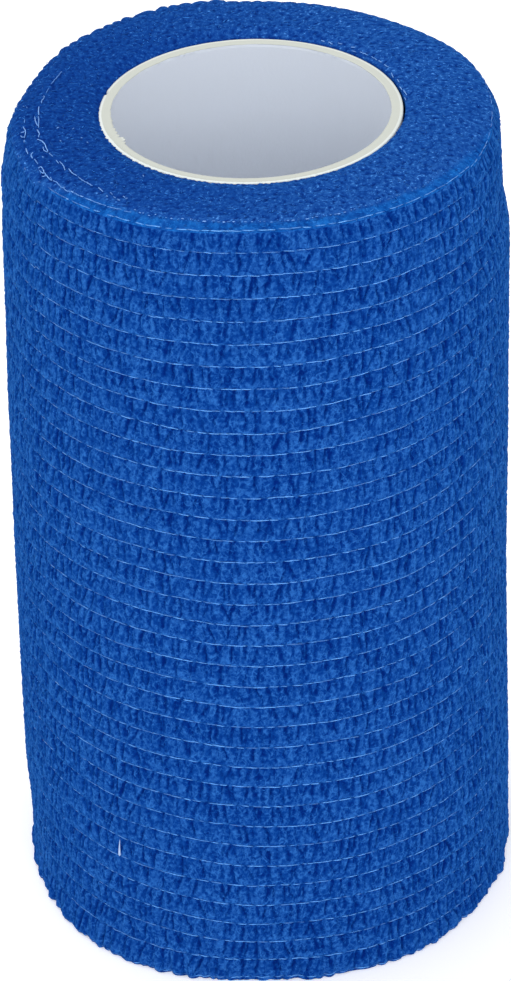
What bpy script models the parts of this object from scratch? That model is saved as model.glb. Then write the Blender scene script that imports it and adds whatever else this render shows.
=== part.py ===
"""Cohesive bandage roll: crinkled elastic cloth wound on a paper core, standing on its end.

Lengths are in metres and +Z runs up the roll's axis. The origin is the middle of the base, where
the roll stands, and the front of the roll faces -Y. The roll is two solids: the paper core, and
the wound cloth as one body. The cloth's wall carries a raised rib for each row of gathers between
two elastic threads, and its turns grow around the roll to the cut end, stuck down at the back.
"""

import math

import bmesh
import bpy

# ---- Driving dimensions ----
CLOTH_WIDTH = 0.100          # width of the bandage, so the height of the standing roll
LAYER = 0.0006               # thickness of one stuck-down layer, the step at the cut end
CUT_END = 96.0               # azimuth of the cut end, in degrees from +X towards +Y
CUT_END_RAMP = 1.0           # degrees over which the step rises

CORE_OUTER_RADIUS = 0.01675
CORE_WALL = 0.00125
CORE_LENGTH = 0.0995
CORE_BEVEL = 0.0001          # the rubbed edges of the tube's ends
CORE_GAP = 0.0003            # room between the core and the cloth

THREADS = 37                 # elastic threads across the width of the cloth
FIRST_THREAD = 0.0006        # height of the lowest thread
ROW_PITCH = 0.00267          # rows at the foot of the roll
ROW_GROWTH = 0.0000031       # how much the rows open out towards the top
RIB = 0.00035                # how far a row's gathers stand out from its threads
RIB_SHOULDER = 0.22          # share of a row over which its rib rises, and falls again
FOOT_ROUNDING = 0.0001       # how far the cloth draws in where it stands

RIM_RADIUS = 0.0270          # the top edge, where the wall turns into the end face
RIM_HEIGHT = 0.0998
RIM_INSET_SHARE = 0.8        # share of the wall's inset that the top edge follows
SLOPE_START = 0.0220         # radius beyond which the end face falls to the top edge
INSET_START = 0.084          # height above which the wall draws in unevenly
INSET_FULL = 0.0975

COLUMNS = 48                 # steps around the roll
CORE_COLUMNS = 48
END_RINGS = (0.0256, 0.0238, 0.0205)  # radii of the end face's rings, from the edge inwards
BASE_RING = 0.0225           # radius of the base's middle ring

# Wall sections: how far the cloth's crests stand from the middle of the section at each height,
# and how far that middle leans to the right of the axis.
SECTION_COLUMNS = ("height", "radius", "lean")
SECTIONS = (
    (0.0000, 0.02860, 0.00000),
    (0.0120, 0.02862, 0.00000),
    (0.0400, 0.02848, -0.00010),
    (0.0600, 0.02850, 0.00010),
    (0.0840, 0.02838, 0.00035),
    (0.0900, 0.02815, 0.00020),
    (0.0975, 0.02795, 0.00020),
    (0.0998, 0.02720, 0.00020),
)

# The top edge is uneven: it has fallen behind and is pressed in on the left.
RIM_COLUMNS = ("azimuth", "drop", "inset")
RIM_SECTIONS = (
    (-135.0, 0.0000, 0.0002),
    (-90.0, 0.0000, 0.0000),
    (-45.0, 0.0000, 0.0000),
    (0.0, 0.0002, 0.0001),
    (20.0, 0.0006, 0.0001),
    (50.0, 0.0011, 0.0001),
    (80.0, 0.0010, 0.0001),
    (110.0, 0.0006, 0.0002),
    (135.0, 0.0008, 0.0004),
    (162.0, 0.0015, 0.0009),
    (185.0, 0.0006, 0.0008),
    (225.0, 0.0000, 0.0002),
)

SHARP_ANGLE = 40.0           # edges sharper than this, in degrees, are shaded as creases

CLOTH_BLUE = (0.010, 0.095, 0.420, 1.0)
CLOTH_ROUGHNESS = 0.90
PAPER_CREAM = (0.720, 0.720, 0.640, 1.0)
PAPER_ROUGHNESS = 0.85


def ease(share):
    """A share held between 0 and 1 and eased at both ends."""
    share = min(max(share, 0.0), 1.0)
    return share * share * (3.0 - 2.0 * share)


def read_table(rows, column, place):
    """The value of a table's column at a place along its first column, eased between rows."""
    for lower, upper in zip(rows, rows[1:]):
        if place <= upper[0]:
            share = (place - lower[0]) / (upper[0] - lower[0])
            return lower[column] + (upper[column] - lower[column]) * ease(share)
    return rows[-1][column]


def rim_value(column, azimuth):
    """A value of the top edge at any azimuth in degrees, wrapped into the table's turn."""
    first = RIM_SECTIONS[0][0]
    wrapped = first + (azimuth - first) % 360.0
    return read_table(RIM_SECTIONS, RIM_COLUMNS.index(column), wrapped)


def winding_offset(azimuth):
    """How far the last turn stands out: one layer less to one layer more around the roll."""
    turned = ((CUT_END - azimuth) / 360.0) % 1.0
    return LAYER * (turned - 0.5)


def section_value(column, height):
    """A value of the wall's section at a height."""
    return read_table(SECTIONS, SECTION_COLUMNS.index(column), height)


def wall_radius(height, azimuth):
    """The radius of the crests of the cloth's wall at a height and an azimuth."""
    radius = section_value("radius", height)
    share = ease((height - INSET_START) / (INSET_FULL - INSET_START))
    return radius - rim_value("inset", azimuth) * share + winding_offset(azimuth)


def rim_radius(azimuth):
    """The radius of the top edge at an azimuth."""
    inset = RIM_INSET_SHARE * rim_value("inset", azimuth)
    return RIM_RADIUS - inset + winding_offset(azimuth)


def end_face_height(radius, azimuth):
    """The height of the top end face: level near the core, then easing down to the top edge."""
    edge = rim_radius(azimuth)
    edge_height = RIM_HEIGHT - rim_value("drop", azimuth)
    share = min(max((edge - radius) / (edge - SLOPE_START), 0.0), 1.0)
    return edge_height + (CLOTH_WIDTH - edge_height) * (1.0 - (1.0 - share) ** 2)


def thread_height(index):
    """The height of a thread below the top edge, with rows that open out towards the top."""
    return FIRST_THREAD + ROW_PITCH * index + ROW_GROWTH * index ** 2


def cloth_azimuths():
    """Azimuths of the wall's columns: even steps, and one more to close the cut end's ramp."""
    step = 360.0 / COLUMNS
    even = [CUT_END + step * index for index in range(COLUMNS)]
    return [even[0], even[0] + CUT_END_RAMP] + even[1:]


def ring_of_points(radius_at, height_at, azimuths, lean=0.0):
    """Points around a middle that leans to the right, with radius and height from two rules."""
    points = []
    for azimuth in azimuths:
        angle = math.radians(azimuth)
        radius = radius_at(azimuth)
        place = (
            lean + radius * math.cos(angle),
            radius * math.sin(angle),
            height_at(azimuth),
        )
        points.append(place)
    return points


def level_ring(radius, height, azimuths):
    """A round ring of one radius at one height."""
    return ring_of_points(lambda azimuth: radius, lambda azimuth: height, azimuths)


def wall_ring(height, depth, azimuths):
    """A ring of the wall, a depth below its crests, lowered where the top edge has fallen."""
    share = ease((height - INSET_START) / (CLOTH_WIDTH - INSET_START))
    return ring_of_points(
        lambda azimuth: wall_radius(height, azimuth) - depth,
        lambda azimuth: height - share * rim_value("drop", azimuth),
        azimuths,
        section_value("lean", height),
    )


def end_ring(radius, azimuths):
    """A ring that lies on the top end face."""
    return ring_of_points(
        lambda azimuth: radius,
        lambda azimuth: end_face_height(radius, azimuth),
        azimuths,
    )


def rim_ring(azimuths):
    """The top edge, where the highest thread lies."""
    return ring_of_points(
        rim_radius,
        lambda azimuth: RIM_HEIGHT - rim_value("drop", azimuth),
        azimuths,
        section_value("lean", RIM_HEIGHT),
    )


def bandage_rings():
    """All rings of the cloth in order: up the ribbed wall, over the end face, down the bore."""
    azimuths = cloth_azimuths()
    heights = [thread_height(index) for index in range(THREADS - 1)] + [RIM_HEIGHT]
    rings = [wall_ring(0.0, FOOT_ROUNDING, azimuths), wall_ring(heights[0], RIB, azimuths)]
    for lower, upper in zip(heights, heights[1:]):
        shoulder = RIB_SHOULDER * (upper - lower)
        rings.append(wall_ring(lower + shoulder, 0.0, azimuths))
        rings.append(wall_ring(upper - shoulder, 0.0, azimuths))
        if upper < RIM_HEIGHT:
            rings.append(wall_ring(upper, RIB, azimuths))
    rings.append(rim_ring(azimuths))
    rings.extend(end_ring(radius, azimuths) for radius in END_RINGS)
    bore = CORE_OUTER_RADIUS + CORE_GAP
    rings.append(end_ring(bore, azimuths))
    rings.append(level_ring(bore, 0.0, azimuths))
    rings.append(level_ring(BASE_RING, 0.0, azimuths))
    return rings


def core_rings():
    """The rings of the paper tube, up its outside and down its bore, with rubbed ends."""
    step = 360.0 / CORE_COLUMNS
    azimuths = [step * index for index in range(CORE_COLUMNS)]
    outer = CORE_OUTER_RADIUS
    inner = CORE_OUTER_RADIUS - CORE_WALL
    top = CORE_LENGTH
    profile = (
        (outer - CORE_BEVEL, 0.0),
        (outer, CORE_BEVEL),
        (outer, top - CORE_BEVEL),
        (outer - CORE_BEVEL, top),
        (inner + CORE_BEVEL, top),
        (inner, top - CORE_BEVEL),
        (inner, CORE_BEVEL),
        (inner + CORE_BEVEL, 0.0),
    )
    return [level_ring(radius, height, azimuths) for radius, height in profile]


def closed_tube(name, rings, material):
    """One closed body: each ring joined to the next by quads, and the last to the first."""
    body = bmesh.new()
    loops = [[body.verts.new(point) for point in ring] for ring in rings]
    for lower, upper in zip(loops, loops[1:] + loops[:1]):
        count = len(lower)
        for index in range(count):
            following = (index + 1) % count
            body.faces.new((lower[index], lower[following], upper[following], upper[index]))
    bmesh.ops.recalc_face_normals(body, faces=body.faces)
    mesh = bpy.data.meshes.new(name)
    body.to_mesh(mesh)
    body.free()
    mesh.shade_smooth()
    mesh.set_sharp_from_angle(angle=math.radians(SHARP_ANGLE))
    mesh.materials.append(material)
    piece = bpy.data.objects.new(name, mesh)
    bpy.context.scene.collection.objects.link(piece)
    return piece


def plain_material(name, colour, roughness):
    """A Principled material with one colour and roughness, and no metal."""
    material = bpy.data.materials.new(name)
    material.use_nodes = True
    material.diffuse_color = colour
    shader = material.node_tree.nodes["Principled BSDF"]
    shader.inputs["Base Color"].default_value = colour
    shader.inputs["Roughness"].default_value = roughness
    shader.inputs["Metallic"].default_value = 0.0
    return material


def build():
    """Clear the scene, then make the paper core and the cloth wound on it."""
    for old in list(bpy.data.objects):
        bpy.data.objects.remove(old, do_unlink=True)
    paper = plain_material("paper", PAPER_CREAM, PAPER_ROUGHNESS)
    cloth = plain_material("cloth", CLOTH_BLUE, CLOTH_ROUGHNESS)
    closed_tube("core", core_rings(), paper)
    closed_tube("bandage", bandage_rings(), cloth)


build()
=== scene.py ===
import math

import bpy
import numpy as np
from bpy.props import FloatProperty, FloatVectorProperty, IntProperty, PointerProperty
from mathutils import Matrix, Vector


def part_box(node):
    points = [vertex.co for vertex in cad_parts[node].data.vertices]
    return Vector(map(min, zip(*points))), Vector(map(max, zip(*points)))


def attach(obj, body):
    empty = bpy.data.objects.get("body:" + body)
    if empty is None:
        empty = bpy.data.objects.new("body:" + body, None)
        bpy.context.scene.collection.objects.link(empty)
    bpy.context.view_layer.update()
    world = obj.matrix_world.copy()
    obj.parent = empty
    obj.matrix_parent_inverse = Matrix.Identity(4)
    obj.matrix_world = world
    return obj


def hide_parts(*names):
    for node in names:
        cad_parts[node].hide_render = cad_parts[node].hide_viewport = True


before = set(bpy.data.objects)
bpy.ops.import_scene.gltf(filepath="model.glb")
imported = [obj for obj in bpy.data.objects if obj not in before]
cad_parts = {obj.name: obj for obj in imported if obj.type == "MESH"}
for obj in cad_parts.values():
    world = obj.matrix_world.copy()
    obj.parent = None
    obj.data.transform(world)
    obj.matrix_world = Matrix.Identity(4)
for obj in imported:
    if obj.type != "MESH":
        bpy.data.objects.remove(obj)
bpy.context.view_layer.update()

bl_info = {
    "name": "Cohesive bandage roll",
    "version": (1, 0, 0),
    "blender": (4, 5, 0),
    "location": "3D View > Sidebar > Bandage roll",
    "description": "Dresses the solids of a rolled crinkled bandage with cloth, threads and a core",
    "category": "Add Mesh",
}

# Lengths are in metres and angles around the roll in degrees, from +X towards +Y. The roll stands
# on its end with its axis on Z and its front towards -Y, as the solids have it.
ROLL_LOW, ROLL_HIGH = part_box("bandage")
CORE_LOW, CORE_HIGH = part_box("core")
BODY = "root"
UP = (0.0, 0.0, 1.0)

# ---- The wound form, which repeats the solid's own rules ----
CUT_END = 96.0               # azimuth of the cut end of the cloth
THREADS = 37                 # elastic threads across the cloth, the last one on the top edge
FIRST_THREAD = 0.0006
ROW_PITCH = 0.00267
ROW_GROWTH = 0.0000031
RIM_RADIUS = 0.0270
RIM_HEIGHT = 0.0998
RIM_INSET_SHARE = 0.8
SLOPE_START = 0.0220
INSET_START = 0.084
INSET_FULL = 0.0975
CORE_GAP = 0.0003
SHOULDER_SPREAD = 0.6        # how much the top edge widens for each step that it slips down
TUCK = 0.00033               # how far the top edge and the wall under it draw in, on the right
TUCK_MIDDLE, TUCK_WIDTH = -5.0, 24.0
TUCK_START, TUCK_RISE = 0.0850, 0.0045
CORE_DIP_REACH = 0.0020      # how far from the core the end face dips to meet it
SCALLOPS = 97.0              # lobes along the top edge
SCALLOP_RISE = 0.00032
SCALLOP_REACH = 0.00026
FOOT_FLARE = 0.00090         # how far the foot spreads beside the front
FOOT_RAGGED = 0.00044        # how uneven the foot's edge is
FOOT_TUCK = 0.00012          # how far the edge of the foot draws in below the lowest thread
FOOT_LIFT = 0.00022          # how far the foot lifts off the floor in places
CORE_OVAL = 0.00013          # how far the core is pressed oval, wider from side to side
CORE_LIP = 0.00003           # how far the end face reaches in over the core
STITCH_SINK = 0.00021        # how far under the crests a stitch's tips lie
NOISE_SQUARE = 0.034         # half the square of noise that covers the end faces

# Where the wall swells out, or is pressed in: azimuth, its spread, height, its spread, how far.
SWELLS = (
    (190.0, 24.0, 0.0055, 0.00660, -0.00050),
    (181.0, 24.0, 0.0932, 0.00325, 0.00048),
)
# Wall sections: height, radius of the crests, lean of the section's middle to the right.
SECTIONS = (
    (0.0000, 0.02860, 0.00000),
    (0.0120, 0.02862, 0.00000),
    (0.0400, 0.02848, -0.00010),
    (0.0600, 0.02850, 0.00010),
    (0.0840, 0.02838, 0.00035),
    (0.0900, 0.02815, 0.00020),
    (0.0975, 0.02795, 0.00020),
    (0.0998, 0.02720, 0.00020),
)
# The uneven top edge: azimuth, drop, inset.
RIM_SECTIONS = (
    (-135.0, 0.0000, 0.0002),
    (-90.0, 0.0000, 0.0000),
    (-45.0, 0.0000, 0.0000),
    (0.0, 0.0002, 0.0001),
    (20.0, 0.0006, 0.0001),
    (50.0, 0.0011, 0.0001),
    (80.0, 0.0010, 0.0001),
    (110.0, 0.0006, 0.0002),
    (135.0, 0.0008, 0.0004),
    (162.0, 0.0015, 0.0009),
    (185.0, 0.0006, 0.0008),
    (225.0, 0.0000, 0.0002),
)

# How far the threads have drifted up or down, counted in threads from the foot, at angles to the
# right of the front; past the last angles the drift dies away.
DRIFT_ANGLES = (-60.0, -30.0, 0.0, 30.0, 60.0)
DRIFT = (
    (0.0, -0.0003, -0.0003, 0.0000, -0.0003, -0.0003),
    (1.0, 0.0003, 0.0000, -0.0001, -0.0004, -0.0006),
    (3.0, 0.0007, 0.0001, -0.0003, -0.0005, -0.0008),
    (9.0, 0.0010, 0.0005, 0.0000, -0.0002, 0.0000),
    (15.0, 0.0004, 0.0004, 0.0001, 0.0001, 0.0002),
    (21.0, 0.0002, 0.0004, 0.0001, 0.0002, 0.0010),
    (27.0, 0.0001, 0.0000, 0.0000, 0.0003, 0.0007),
    (30.0, -0.0005, -0.0004, -0.0001, 0.0002, 0.0002),
    (33.0, -0.0006, -0.0007, -0.0002, -0.0005, -0.0008),
    (35.0, -0.0009, -0.0008, -0.0004, -0.0006, -0.0009),
    (36.0, -0.0008, -0.0006, -0.0002, -0.0004, -0.0006),
)

# ---- How finely each piece is made ----
WALL_COLUMNS = 1000
ROW_SHARES = (0.0, 0.05, 0.15, 0.28, 0.42, 0.56, 0.70, 0.84, 0.95)  # finer beside a thread
WALL_BANDS = 4               # the wall is four pieces, parted at threads
BAND_ROWS = (THREADS - 1) // WALL_BANDS
FOOT_SHARES = (0.0, 0.35, 0.75)  # of the height of the lowest thread
END_COLUMNS = 800
END_STEPS = 46
BASE_COLUMNS = 420
BASE_STEPS = 12
CORE_COLUMNS = 720
FURROWS = 184                # furrows in one row around the roll
STITCHES = 137               # stitches of one elastic thread around the roll
STITCH_POINTS = 6            # points along a stitch, its two tips among them
STRAND_POINTS = 18
GLINTS = 56
GLINT_POINTS = 5
FIBRE_POINTS = 4
FLECK_POINTS = 9

# ---- Relief, and the cells of noise that make it, by their width ----
ROW_SINK = 0.00025           # how far the threads' lines lie under the crests
SHADE_RELIEF = 0.00003       # patches between the upright folds
CRUMPLE_RELIEF, CRUMPLE_CELL = 0.00004, 0.0010
FINE_RELIEF, FINE_CELL = 0.00006, 0.00046
UPRIGHT_CELL, NET_CELL = 0.00125, 0.00072
FOLD_WIDTH = 0.00010         # width of the fold beside a furrow, and its gap from the furrow
FELT_COARSE_CELL, FELT_FINE_CELL, FLECK_CELL = 0.0009, 0.00048, 0.00042
LAYER_RELIEF, LAYER_PITCH = 0.00003, 0.00068
GATHER_RELIEF = 0.00012      # gathers of the smooth shoulder

# ---- The stage ----
CAMERA_AIM = (-0.0006608, 0.0, 0.0493907)
LAMP_AIM = (0.0, 0.0, 0.05)
KEY_PLACE, KEY_SIDE = (0.02, -0.78, 0.58), 0.55
FILL_PLACE, FILL_SIDE = (-0.30, 0.35, 0.85), 0.70
FLOOR_HALF = 4.0
FLOOR_GLOW = 0.22            # the floor's own light, which keeps it nearly white
WHITE = (1.0, 1.0, 1.0, 1.0)

# ---- Stray threads and tears ----
# Stray elastic threads on the end face, as short strands: how bare, from 0 to 1, then the azimuth
# and the radius of points along it.
LOOSE_THREADS = (
    # The inner one, from the back left to the front left, with its loops.
    (0.40, (157.0, 0.02280), (161.0, 0.02283), (165.0, 0.02300)),
    (0.25, (167.0, 0.02298), (170.0, 0.02305)),
    (0.60, (171.3, 0.02320), (172.7, 0.02308), (174.7, 0.02329), (176.0, 0.02321)),
    (0.95, (177.5, 0.02347), (180.3, 0.02348), (182.6, 0.02344)),
    (0.80, (182.7, 0.02392), (185.3, 0.02389), (187.3, 0.02382), (188.3, 0.02368)),
    (0.70, (183.1, 0.02349), (186.2, 0.02353), (189.4, 0.02374)),
    (0.85, (190.0, 0.02397), (191.0, 0.02387), (192.7, 0.02385), (194.0, 0.02415)),
    (0.95, (194.6, 0.02439), (196.1, 0.02400), (198.0, 0.02387), (199.7, 0.02395),
     (202.7, 0.02411)),
    (0.65, (199.2, 0.02419), (201.2, 0.02440), (202.7, 0.02415)),
    (0.50, (203.1, 0.02412), (205.5, 0.02406)),
    (0.60, (207.5, 0.02410), (209.4, 0.02419)),
    (0.75, (208.5, 0.02389), (211.2, 0.02402), (213.4, 0.02439)),
    (0.85, (213.2, 0.02390), (215.8, 0.02414), (217.8, 0.02412)),
    (0.50, (218.2, 0.02415), (220.4, 0.02426), (222.0, 0.02426)),
    (0.70, (221.8, 0.02422), (224.5, 0.02435)),
    (0.80, (226.1, 0.02414), (228.6, 0.02448)),
    (0.45, (230.4, 0.02416), (231.5, 0.02437)),
    # The outer one, from the left to where the shoulder's edge begins.
    (0.45, (183.1, 0.02503), (184.9, 0.02510)),
    (0.85, (186.3, 0.02530), (188.5, 0.02516), (190.0, 0.02523), (191.9, 0.02553)),
    (0.60, (188.5, 0.02567), (189.1, 0.02543), (188.8, 0.02520)),
    (0.60, (189.9, 0.02578), (190.9, 0.02572), (191.4, 0.02549)),
    (0.75, (192.7, 0.02560), (193.6, 0.02569)),
    (0.70, (196.4, 0.02581), (197.6, 0.02589), (199.3, 0.02597)),
    (0.90, (199.8, 0.02544), (200.2, 0.02575), (200.9, 0.02584), (202.0, 0.02586)),
    (0.50, (202.6, 0.02575), (203.9, 0.02579), (205.5, 0.02586)),
    (0.80, (206.9, 0.02616), (206.4, 0.02581), (208.3, 0.02587), (209.7, 0.02608), (209.4, 0.02625),
     (207.1, 0.02620)),
    (0.80, (209.5, 0.02604), (211.4, 0.02623), (214.1, 0.02635)),
    (0.80, (210.5, 0.02658), (211.3, 0.02619)),
    (0.60, (212.6, 0.02609), (214.0, 0.02629)),
    (0.50, (214.3, 0.02629), (215.7, 0.02615), (218.5, 0.02645)),
    (0.55, (218.4, 0.02644), (219.0, 0.02614)),
    (0.55, (218.8, 0.02635), (220.3, 0.02646), (221.5, 0.02632)),
    (0.95, (221.3, 0.02624), (222.4, 0.02626)),
    (0.45, (222.6, 0.02626), (224.5, 0.02629)),
    (0.85, (224.5, 0.02628), (225.6, 0.02622)),
    (0.80, (227.2, 0.02622), (228.4, 0.02624)),
    (0.40, (225.9, 0.02622), (229.0, 0.02624), (233.0, 0.02624)),
    (0.65, (230.3, 0.02623), (231.4, 0.02625)),
    (0.45, (233.1, 0.02625), (235.0, 0.02617), (237.1, 0.02606)),
    (0.40, (237.8, 0.02613), (239.7, 0.02607)),
    # Single specks on the felt and the shoulder, and a row of them beside the core behind.
    (0.85, (222.1, 0.02722), (222.8, 0.02722)),
    (0.75, (198.4, 0.02213), (198.8, 0.02205)),
    (0.75, (190.9, 0.02178), (190.6, 0.02152)),
    (0.55, (199.0, 0.01978), (199.4, 0.01968)),
    (0.55, (192.7, 0.02014), (192.3, 0.01996)),
    (0.65, (203.5, 0.02497), (204.0, 0.02493)),
    (0.50, (175.5, 0.02534), (175.7, 0.02521)),
    (0.40, (176.8, 0.02488), (177.3, 0.02478)),
    (0.95, (61.8, 0.01730), (60.2, 0.01725)),
    (0.90, (58.8, 0.01735), (56.6, 0.01715)),
    (0.85, (49.2, 0.01755), (47.4, 0.01775)),
    (0.60, (54.9, 0.01751), (53.1, 0.01758)),
    (0.60, (47.6, 0.01715), (45.8, 0.01722)),
    (0.75, (44.3, 0.01742), (40.3, 0.01751)),
    (0.60, (38.7, 0.01753), (37.1, 0.01754), (35.1, 0.01753)),
    (0.80, (34.5, 0.01757), (32.6, 0.01758)),
    (0.65, (30.8, 0.01755), (28.0, 0.01760)),
    (0.70, (24.1, 0.01732), (20.8, 0.01712)),
    (0.60, (18.9, 0.01736), (16.3, 0.01731)),
    (0.80, (13.6, 0.01711), (10.6, 0.01716)),
    (0.75, (10.3, 0.01728), (5.8, 0.01744)),
    (0.55, (5.0, 0.01714), (2.3, 0.01723)),
    (0.70, (230.4, 0.02481), (230.9, 0.02493)),
    (0.60, (232.2, 0.02463), (233.1, 0.02471)),
    (0.75, (233.9, 0.02482), (234.7, 0.02486)),
    (0.65, (234.2, 0.02401), (235.2, 0.02417)),
    (0.60, (235.5, 0.02434), (235.8, 0.02412)),
    (0.50, (231.9, 0.01931), (232.7, 0.01948)),
    (0.50, (202.4, 0.01955), (203.0, 0.01947)),
)

# Tears of the core's inner ply: azimuth, half width in degrees, how far it reaches inwards.
CORE_TEARS = (
    (190.0, 14.0, 0.00020),
    (202.5, 2.4, 0.00050),
    (118.0, 6.0, 0.00009),
    (130.0, 3.0, 0.00005),
    (56.0, 7.0, 0.00007),
)


# ---- Sizes, colours and the stage, as the panel shows them ----


def length_property(name, description, default, low, high):
    """A length that the panel shows in the scene's unit, between two limits."""
    return FloatProperty(
        name=name, description=description, default=default, min=low, max=high, unit="LENGTH")


def colour_property(name, description, default):
    """A colour, in linear light, that the panel shows as a patch."""
    return FloatVectorProperty(
        name=name, description=description, default=default, size=3, min=0.0, max=1.0,
        subtype="COLOR")


class BandageSizes(bpy.types.PropertyGroup):
    """Sizes of the roll, in metres."""

    roll_radius: length_property(
        "Roll radius", "Radius of the wound cloth at its foot", SECTIONS[0][1], 0.02, 0.05)
    cloth_width: length_property(
        "Cloth width", "Width of the bandage, so the height of the roll",
        float(ROLL_HIGH[2] - ROLL_LOW[2]), 0.05, 0.2)
    layer: length_property(
        "Layer", "Thickness of one layer, the step at the cut end", 0.0006, 0.0002, 0.002)
    core_radius: length_property(
        "Core radius", "Outer radius of the paper core",
        float(CORE_HIGH[0] - CORE_LOW[0]) / 2.0, 0.005, 0.03)
    core_wall: length_property(
        "Core wall", "Thickness of the paper core's wall", 0.00125, 0.0004, 0.004)
    core_length: length_property(
        "Core length", "Length of the paper core", float(CORE_HIGH[2] - CORE_LOW[2]), 0.05, 0.2)
    row_bulge: length_property(
        "Row bulge", "How far a row of gathers swells between two threads", 0.00025, 0.0, 0.001)
    furrow_depth: length_property(
        "Furrow depth", "Depth of the deepest furrows between gathers", 0.00031, 0.0, 0.001)
    crease_height: length_property(
        "Crease height", "How far the thin creases stand up", 0.00010, 0.0, 0.0005)
    thread_wander: length_property(
        "Thread wander", "How far a thread strays from its level", 0.00016, 0.0, 0.001)
    thread_thickness: length_property(
        "Thread thickness", "Thickness of an elastic thread", 0.00013, 0.00005, 0.0006)
    felt_depth: length_property(
        "Felt depth", "Depth of the crumbs and pits of the end faces", 0.00014, 0.0, 0.0006)
    fibre_length: length_property(
        "Fibre length", "Usual length of a loose fibre", 0.0005, 0.0002, 0.004)
    fibre_count: IntProperty(
        name="Fibres", description="Number of loose fibres on the cloth",
        default=2600, min=0, max=6000)


class BandageColours(bpy.types.PropertyGroup):
    """Colours of the roll's finishes, in linear light."""

    cloth: colour_property("Cloth", "The cloth's usual blue", (0.0020, 0.0425, 0.256))
    # The furrows' blue is painted shade, and the creases' blue painted highlight; the creases' blue
    # also colours the cloth over a covered elastic thread.
    cloth_painted_shade: colour_property("Furrows", "The blue down in the furrows", (0.0003, 0.0155, 0.166))
    cloth_painted_light: colour_property("Creases", "The blue on worn creases", (0.0215, 0.1280, 0.466))
    felt: colour_property("Felt", "The end faces' usual blue", (0.0048, 0.0490, 0.280))
    # The pits' blue is painted shade and the crumbs' blue painted light; the crumbs' blue also
    # colours the felt over a covered stray thread.
    felt_painted_shade: colour_property("Felt pits", "The blue in the felt's pits", (0.0014, 0.0185, 0.172))
    felt_painted_light: colour_property("Crumbs", "The blue on the felt's crumbs", (0.0260, 0.1350, 0.470))
    felt_fleck: colour_property("Flecks", "The felt's palest flecks", (0.0900, 0.2900, 0.780))
    smooth: colour_property("Shoulder", "The smooth shoulder's clear blue", (0.0045, 0.0850, 0.385))
    smooth_light: colour_property(
        "Shoulder light", "The shoulder's lightest blue", (0.0150, 0.1600, 0.560))
    elastic: colour_property("Elastic thread", "The pale elastic threads", (0.1250, 0.4300, 1.000))
    stray: colour_property(
        "Stray thread", "The pale stray threads on the end face", (0.2400, 0.5000, 1.000))
    fibre: colour_property("Fibre", "Loose fibres", (0.0450, 0.2800, 0.860))
    lint: colour_property("Lint", "The pale fleck of lint", (0.46, 0.58, 0.84))
    lint_under: colour_property(
        "Lint, covered", "The lint where cloth covers it", (0.10, 0.30, 0.65))
    paper: colour_property("Paper", "The cut edge of the core", (0.555, 0.580, 0.530))
    paper_ply: colour_property("Outer ply", "The core's whiter outer ply", (0.740, 0.790, 0.770))
    paper_inside: colour_property("Core inside", "The core's grey inside", (0.712, 0.758, 0.836))
    floor: colour_property("Floor", "The floor of the studio", (0.985, 0.985, 0.985))


class StageSettings(bpy.types.PropertyGroup):
    """The camera and the lamps."""

    distance: length_property(
        "Camera distance", "From the camera to the point that it looks at", 0.651272, 0.2, 5.0)
    look_down: FloatProperty(
        name="Look down", description="Angle of the camera below the level",
        default=0.571725, min=0.0, max=1.5, subtype="ANGLE")
    roll: FloatProperty(
        name="Camera roll", description="Turn of the camera about its line of sight",
        default=-0.0281388, min=-0.5, max=0.5, subtype="ANGLE")
    lens: FloatProperty(
        name="Lens", description="Focal length in millimetres",
        default=206.93, min=20.0, max=400.0)
    sky: FloatProperty(
        name="Sky", description="Strength of the even white light from all around",
        default=0.92, min=0.0, max=5.0)
    key: FloatProperty(
        name="Key lamp", description="Power of the large lamp beside the camera, in watts",
        default=2.35, min=0.0, max=100.0)
    fill: FloatProperty(
        name="Fill lamp", description="Power of the lamp above and behind, in watts",
        default=1.6, min=0.0, max=100.0)


# ---- Rules for shapes, as whole arrays ----


def ease(share):
    """A share held between 0 and 1 and eased at both ends: s squared times 3 less 2s."""
    share = np.clip(share, 0.0, 1.0)
    return share * share * (3.0 - 2.0 * share)


def bell(distance, width, power=2):
    """A bell curve that is 1 in the middle: e to the less of distance over width, to a power."""
    return np.exp(-(distance / width) ** power)


def away_from(azimuth, middle):
    """Degrees around the roll from a middle azimuth, from -180 to 180."""
    return (azimuth - middle + 180.0) % 360.0 - 180.0


def from_front(azimuth):
    """Degrees to the right of the front, from -180 to 180."""
    return (azimuth + 270.0) % 360.0 - 180.0


def read_table(rows, column, places):
    """Values of a table's column at places along its first column, eased from row to row."""
    table = np.array(rows)
    heads = table[:, 0]
    upper = np.clip(np.searchsorted(heads, places, side="left"), 1, len(heads) - 1)
    lower = upper - 1
    share = ease((places - heads[lower]) / (heads[upper] - heads[lower]))
    return table[lower, column] + (table[upper, column] - table[lower, column]) * share


def rim_value(column, azimuth):
    """A column of the top edge's table at any azimuth, wrapped into the table's turn."""
    first = RIM_SECTIONS[0][0]
    return read_table(RIM_SECTIONS, column, first + (azimuth - first) % 360.0)


def rim_drop(azimuth):
    """How far the top edge has fallen at an azimuth."""
    return rim_value(1, azimuth)


def rim_inset(azimuth):
    """How far the top edge is pressed in at an azimuth."""
    return rim_value(2, azimuth)


def scallop(azimuth):
    """Lobes of the top edge, where gathers end: the root of a sine's size, less its usual value.

    The sine's pace wavers with noise. The lobes are full behind on the left and faint in front.
    """
    strong = 0.22 + 0.78 * bell(away_from(azimuth, 138.0), 42.0)
    pace = azimuth * SCALLOPS / 360.0 + 0.55 * turn_grain(azimuth, 4.0, 0.0045, 66)
    size = 0.75 + 0.5 * turn_grain(azimuth, 4.0, 0.0026, 67)
    return strong * size * (np.sqrt(np.abs(np.sin(math.pi * pace))) - 0.7) * 1.6


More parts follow.
